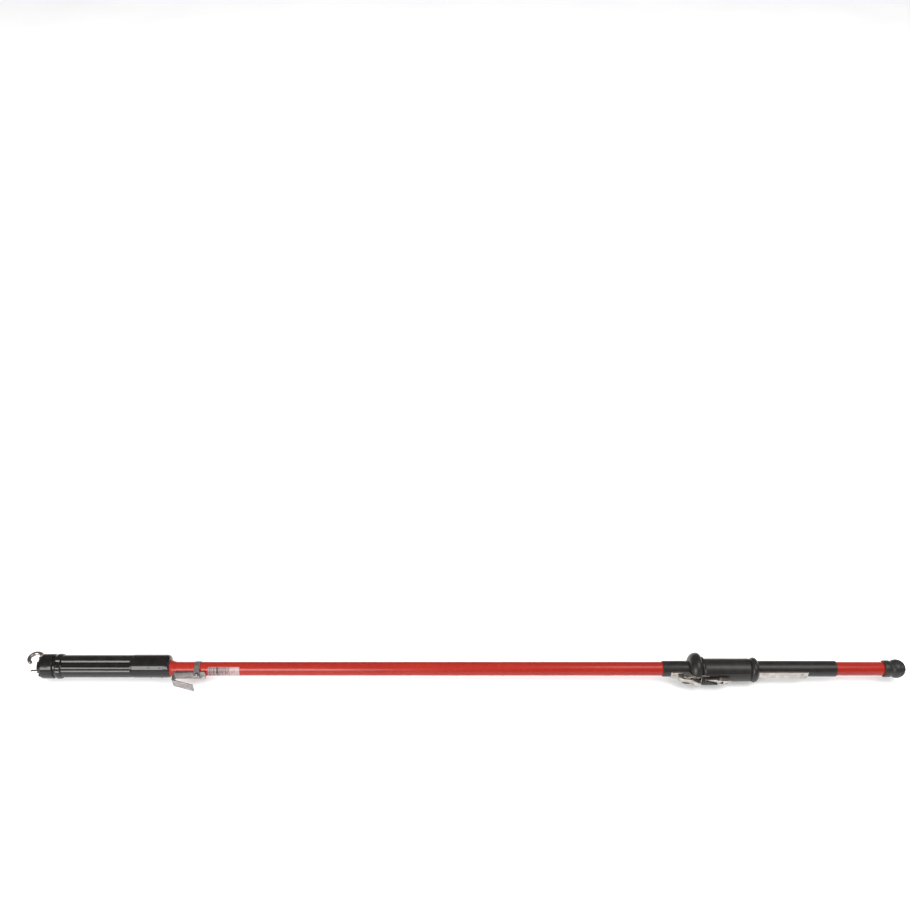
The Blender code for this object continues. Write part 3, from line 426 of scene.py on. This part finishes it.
def swept(path, radius, steps=24, nose=None):
    """A round bar along (x, y) points in the level plane; nose rounds its first end."""
    geometry = bmesh.new()
    rings = []
    count = len(path)
    for i, point in enumerate(path):
        before, after = path[max(i - 1, 0)], path[min(i + 1, count - 1)]
        along = (Vector(after) - Vector(before)).normalized()
        side = Vector((-along.y, along.x))
        rings.append((Vector(point), side, along, radius))
    if nose:
        point, side, along, _ = rings[0]
        caps = []
        for k in range(1, 5):
            t = math.pi / 2 * k / 5
            caps.append((point - along * nose * math.sin(t), side, along,
                         radius - nose + nose * math.cos(t)))
        rings = caps[::-1] + rings
    loops = []
    for point, side, _, r in rings:
        loop = []
        for k in range(steps):
            t = 2 * math.pi * k / steps
            flat = point + side * r * math.cos(t)
            loop.append(geometry.verts.new((flat.x * MM, flat.y * MM, r * math.sin(t) * MM)))
        loops.append(loop)
    for first, second in zip(loops, loops[1:]):
        for k in range(steps):
            nxt = (k + 1) % steps
            geometry.faces.new((first[k], first[nxt], second[nxt], second[k]))
    geometry.faces.new(loops[0])
    geometry.faces.new(loops[-1])
    bmesh.ops.recalc_face_normals(geometry, faces=geometry.faces)
    return geometry


def make_hook():
    centre, radius, neck = (-1006.5, 29.5), 15.4, 14.0
    bow = arc(centre, radius, 235.0, neck, 48)
    heading = math.radians(90 - neck)
    x = bow[-1][0] + 9.0 * math.cos(heading)
    y = bow[-1][1] - 9.0 * math.sin(heading)
    bend_r = y / (1 - math.cos(heading))
    bend = arc((x + bend_r * math.sin(heading), bend_r), bend_r, 270 - math.degrees(heading), 270, 20)
    add_piece("hook_fine", swept(bow + bend + [(-838.0, 0.0)], 4.98, nose=1.5), "hook")
    prong = [(-1007.0, 0.0), (-1007.0, PRONG_R), (-971.5, PRONG_R), (-971.5, 0.0)]
    add_piece("eye_prong_fine", lofted(rounded(prong, 1.6, 5), PRONG_Y, 32), "eye_prong")


# ---------------------------------------------------------------- pole, clamp and label

def make_pole():
    start, end = TUBE[0].x / MM, TUBE[1].x / MM
    tube = [(start, 12.7), (start, POLE_R), (end, POLE_R), (end, 12.7), (start, 12.7)]
    pole = add_piece("pole_tube_fine", lofted(rounded(tube, 0.3, 2), steps=96))
    cut(pole, box_geometry(*DRIVE_SLOT))
    finish_piece(pole, "pole_tube")


def curved_patch(name, x0, x1, first, last, inner, outer, node, material, stands_in=False, steps=24):
    """A piece of thin film on the pole, between two angles from +Y."""
    geometry = bmesh.new()
    loops = []
    for i in range(steps + 1):
        t = math.radians(first + (last - first) * i / steps)
        c, s = math.cos(t), math.sin(t)
        loops.append([geometry.verts.new((x * MM, r * c * MM, r * s * MM))
                      for x, r in ((x0, inner), (x0, outer), (x1, outer), (x1, inner))])
    for a, b in zip(loops, loops[1:]):
        for k in range(4):
            geometry.faces.new((a[k], a[(k + 1) % 4], b[(k + 1) % 4], b[k]))
    geometry.faces.new(loops[0])
    geometry.faces.new(loops[-1])
    bmesh.ops.recalc_face_normals(geometry, faces=geometry.faces)
    finish_piece(add_piece(name, geometry), node, material, stands_in=stands_in)


def make_label():
    x0, x1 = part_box("label")[0].x / MM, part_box("label")[1].x / MM
    first, last = 114.5, 213.5
    curved_patch("label_fine", x0 + 0.3, x1 - 0.3, first, last, POLE_R + 0.05, POLE_R + 0.2, "label",
                 None, True)
    # Each patch of ink has a start and an end from the label's start, then its first and last angles.
    inks = [(1.5, 6.5, 118, 210), (8, 9.5, 118, 196), (11.5, 14, 122, 168), (15, 16.2, 118, 206),
            (18.5, 24.5, 118, 176), (26, 27.4, 118, 196), (29.5, 31.5, 124, 170), (33, 34.4, 118, 206),
            (36.5, 38, 120, 160), (40, 41.6, 118, 188), (44, 45.2, 124, 170), (47.5, 48.5, 118, 150),
            (11.5, 14, 174, 206), (18.5, 24.5, 184, 206), (55, 56.5, 150, 172), (60, 61.2, 140, 166)]
    for number, (a, b, low, high) in enumerate(inks):
        curved_patch(f"label_ink_{number}", x0 + a, x0 + b, low, high, POLE_R + 0.21, POLE_R + 0.24,
                     "label", LABEL_INK, steps=10)
    curved_patch("label_end", x0 + 51, x1 - 1, first + 1, last - 1, POLE_R + 0.21, POLE_R + 0.24, "label",
                 LABEL_CLEAR)


def make_guide_tube():
    (start, end), (inner, outer) = GUIDE_X, GUIDE_R
    tube = [(start, inner), (start, outer), (end, outer), (end, inner), (start, inner)]
    guide = add_piece("guide_tube_fine", lofted(rounded(tube, 1.0), steps=96))
    cut(guide, box_geometry(*DRIVE_SLOT))
    finish_piece(guide, "guide_tube", GRIP_BLACK)


def make_butt_cap():
    ball = arc((1005.3, 0.0), 21.6, 124.5, 0, 30)
    # Rings moulded round the ball's end.
    ridges = []
    for (x, r), (nx, nr) in zip(ball, ball[1:]):
        ridges.append((x, r))
        if x > 1009 and r > 3.0:
            ridges.append(((x + nx) / 2 - 0.35, (r + nr) / 2 - 0.25))
    ridges.append((ball[-1][0], 0.0))
    bore = [(CAP_FLOOR, 0.0), (CAP_FLOOR, POLE_R + 0.3), (CAP_START, POLE_R + 0.3)]
    skirt = [(CAP_START, 19.0), (CAP_START + 1.0, 19.4), (988.5, 19.4), (989.8, 18.4), (991.6, 17.9)]
    # The bore and the outside are one profile, from the bottom of the bore round to the ball's end.
    add_piece("butt_cap_fine", lofted(bore + skirt + ridges, steps=96), "butt_cap", angle=50)


# ---------------------------------------------------------------- handle

def handle_bores(start, end):
    return [bar_geometry((start - 5, 0, 0), (end + 5, 0, 0), BORE_R, 96),
            box_geometry((start - 5, CHANNEL_FLOOR, -CHANNEL_HALF), (end + 5, 0, CHANNEL_HALF))]


def bracket_screw_bores():
    return [bar_geometry((540, BRACKET_SCREW_Y, z), (566, BRACKET_SCREW_Y, z), SCREW_BORE_R, 12)
            for z in (BRACKET_SCREW_Z, -BRACKET_SCREW_Z)]


def make_guard():
    """A round ring, whose front is let in for the latch."""
    first = math.degrees(math.asin(0.4 / GUARD_BULGE_R))
    bulge = arc((GUARD_X, GUARD_RING_R), GUARD_BULGE_R, 180 - first, 90, 24)
    # Behind its crest the guard drops to a thin flange that meets the grip.
    crest = GUARD_RING_R + GUARD_BULGE_R
    fall = [(GUARD_X + GUARD_FALL_X * math.sin(t), crest - GUARD_FALL_R * (1 - math.cos(t)))
            for t in (math.pi / 2 * k / 12 for k in range(1, 13))]
    end = GRIP_X[0] - 0.3
    flange = rounded([(fall[-1][0], fall[-1][1] - 1.6), (551.0, 25.6), (551.6, FLANGE_R),
                      (end, FLANGE_R), (end, 0.0)], 0.9)
    outer = [(bulge[0][0], 0.0)] + bulge + fall + flange
    guard = add_piece("hand_guard_fine", lofted(outer, steps=144))
    cutters = handle_bores(bulge[0][0], GRIP_X[0])
    cutters.append(box_geometry((510.0, -45.0, -12.8), (549.4, -17.7, 12.8)))
    cutters += bracket_screw_bores()
    cut(guard, *cutters)
    soften(guard, 0.4)
    finish_piece(guard, "hand_guard", GRIP_BLACK)


def grip_depth(x, degrees):
    """A long shallow groove on each side of the trigger."""
    side = min(degrees, 360 - degrees)
    first, last = GROOVE_TURN
    along = min(1.0, max(0.0, min(x - GROOVE_X[0], GROOVE_X[1] - x) / 3.0))
    if not first < side < last:
        return 0.0
    return GROOVE_DEEP * along * math.sin(math.pi * (side - first) / (last - first))


def make_grip():
    start, end = GRIP_X
    outer = [(start, 0.0), (start, GRIP_R - 1.0), (start + 2.5, GRIP_R), (end, GRIP_R), (end, 0.0)]
    turns = sorted({a * s % 360 for s in (1, -1) for a in
                    [3 * k for k in range(61)] + [26, 26.7, 27.3, 28, 28.7, 29.3, 30]})
    profile = stations(rounded(outer, 0.6), [586.0, 587.0, 588.0, 589.0, 656.0, 658.0, 660.0])
    grip = add_piece("handle_grip_fine", lofted(profile, GRIP_ECC, angles=turns, depth=grip_depth))
    top = GRIP_ECC + GRIP_R
    cutters = handle_bores(start, end)
    cutters.append(bar_geometry((DRIVE_X, 10, 0), (DRIVE_X, 40, 0), 3.3))
    cutters.append(bar_geometry((DRIVE_X, top - 3.4, 0), (DRIVE_X, 40, 0), 5.8))
    cutters.append(bar_geometry((604.0, -40, 0), (604.0, -24.5, 0), SCREW_BORE_R, 12))
    cutters += bracket_screw_bores()
    cut(grip, *cutters)
    finish_piece(grip, "handle_grip", GRIP_BLACK)
    start, end = REAR_X
    bulge = arc((REAR_CREST, REAR_R - REAR_ROUND), REAR_ROUND, 152, 27, 18)
    outer = [(start, 0.0), (start, GRIP_R)] + bulge + [(end, 23.2), (end, 0.0)]
    ring = add_piece("handle_rear_ring_fine", lofted(rounded(outer, 0.5, 3), GRIP_ECC, 128))
    cut(ring, *handle_bores(start, end))
    finish_piece(ring, "handle_rear_ring", GRIP_BLACK)


# ---------------------------------------------------------------- light, floor and camera

def make_area(name, place, target, size, power):
    light = bpy.data.lights.new(name, "AREA")
    light.shape = "RECTANGLE"
    light.size, light.size_y = size
    light.energy = power
    obj = bpy.data.objects.new(name, light)
    bpy.context.scene.collection.objects.link(obj)
    obj.location = place
    obj.rotation_mode = "QUATERNION"
    obj.rotation_quaternion = (Vector(target) - Vector(place)).to_track_quat("-Z", "Y")
    return obj


def make_studio():
    mesh = bpy.data.meshes.new("floor")
    reach = 12.0
    mesh.from_pydata([(-reach, -reach, 0), (reach, -reach, 0), (reach, reach, 0), (-reach, reach, 0)], [],
                     [(0, 1, 2, 3)])
    mesh.materials.append(surface("floor", (0.86, 0.86, 0.86), (0.90, 0.90, 0.90), 0.9, 0.05, scale=2,
                                  specular=0.1))
    floor = bpy.data.objects.new("floor", mesh)
    bpy.context.scene.collection.objects.link(floor)
    world = bpy.data.worlds.new("studio")
    world.use_nodes = True
    world.node_tree.nodes["Background"].inputs["Color"].default_value = (1, 1, 1, 1)
    world.node_tree.nodes["Background"].inputs["Strength"].default_value = 0.22
    bpy.context.scene.world = world
    bpy.context.scene.view_settings.view_transform = "Standard"
    # One softbox is mirrored in the head, and a higher one in the handle.
    for name, x, elevation, size, power in (("left_key", -2.05, 32.0, (2.3, 1.5), 150),
                                            ("right_key", 2.0, 78.0, (2.4, 1.6), 75)):
        up = math.radians(elevation)
        toward = Vector((0.0, -math.cos(up), math.sin(up)))
        target = AXIS + Vector((x, 0, 0))
        make_area(name, target + toward * 3.2, target, size, power)
    # The overhead light whitens the floor, and isn't mirrored in the gloss.
    behind = AXIS + Vector((0, 0.9, 0))
    overhead = make_area("overhead", behind + Vector((0, 0, 3.4)), behind, (12.0, 10.0), 560)
    overhead.visible_glossy = False


def make_camera():
    """The camera looks along +Y and down, with the stick below the middle of its picture."""
    camera = bpy.data.objects.new("camera", bpy.data.cameras.new("camera"))
    bpy.context.scene.collection.objects.link(camera)
    camera.data.lens = 41.54
    camera.data.sensor_width = 36.0
    axis_down = math.radians(40.5)
    forward = Vector((0.0, math.cos(axis_down), -math.sin(axis_down)))
    up = Vector((0.0, math.sin(axis_down), math.cos(axis_down)))
    along, depth, below = -0.0214, 2.4465, 0.4977
    camera.location = Vector((along, AXIS.y, AXIS.z)) - forward * depth + up * below
    camera.rotation_mode = "QUATERNION"
    camera.rotation_quaternion = forward.to_track_quat("-Z", "Y")
    camera.data.clip_end = 100.0
    bpy.context.scene.camera = camera


def main():
    for name, node in frame["nodes"].items():
        node.data.materials.clear()
        blackened = name.startswith("head_pin")
        node.data.materials.append(FINISH["black_plastic" if blackened else SLOT_OF[name]])
    make_crown()
    make_head_body()
    make_head_sleeve()
    make_flare()
    make_hook()
    make_pole()
    make_label()
    make_guide_tube()
    make_butt_cap()
    make_guard()
    make_grip()
    for node, width in (("latch_bracket", 0.35), ("latch_pawl", 0.6), ("trigger_lever", 0.6),
                        ("trigger_pad", 0.6), ("trigger_bracket", 0.6), ("rail", 0.3),
                        ("clamp_housing", 0.4), ("clamp_screw", 0.3), ("hang_hook", 0.3),
                        ("rail_rivet_front", 0.25), ("rail_rivet_rear", 0.25)):
        eased(node, width)
    make_studio()
    make_camera()


main()
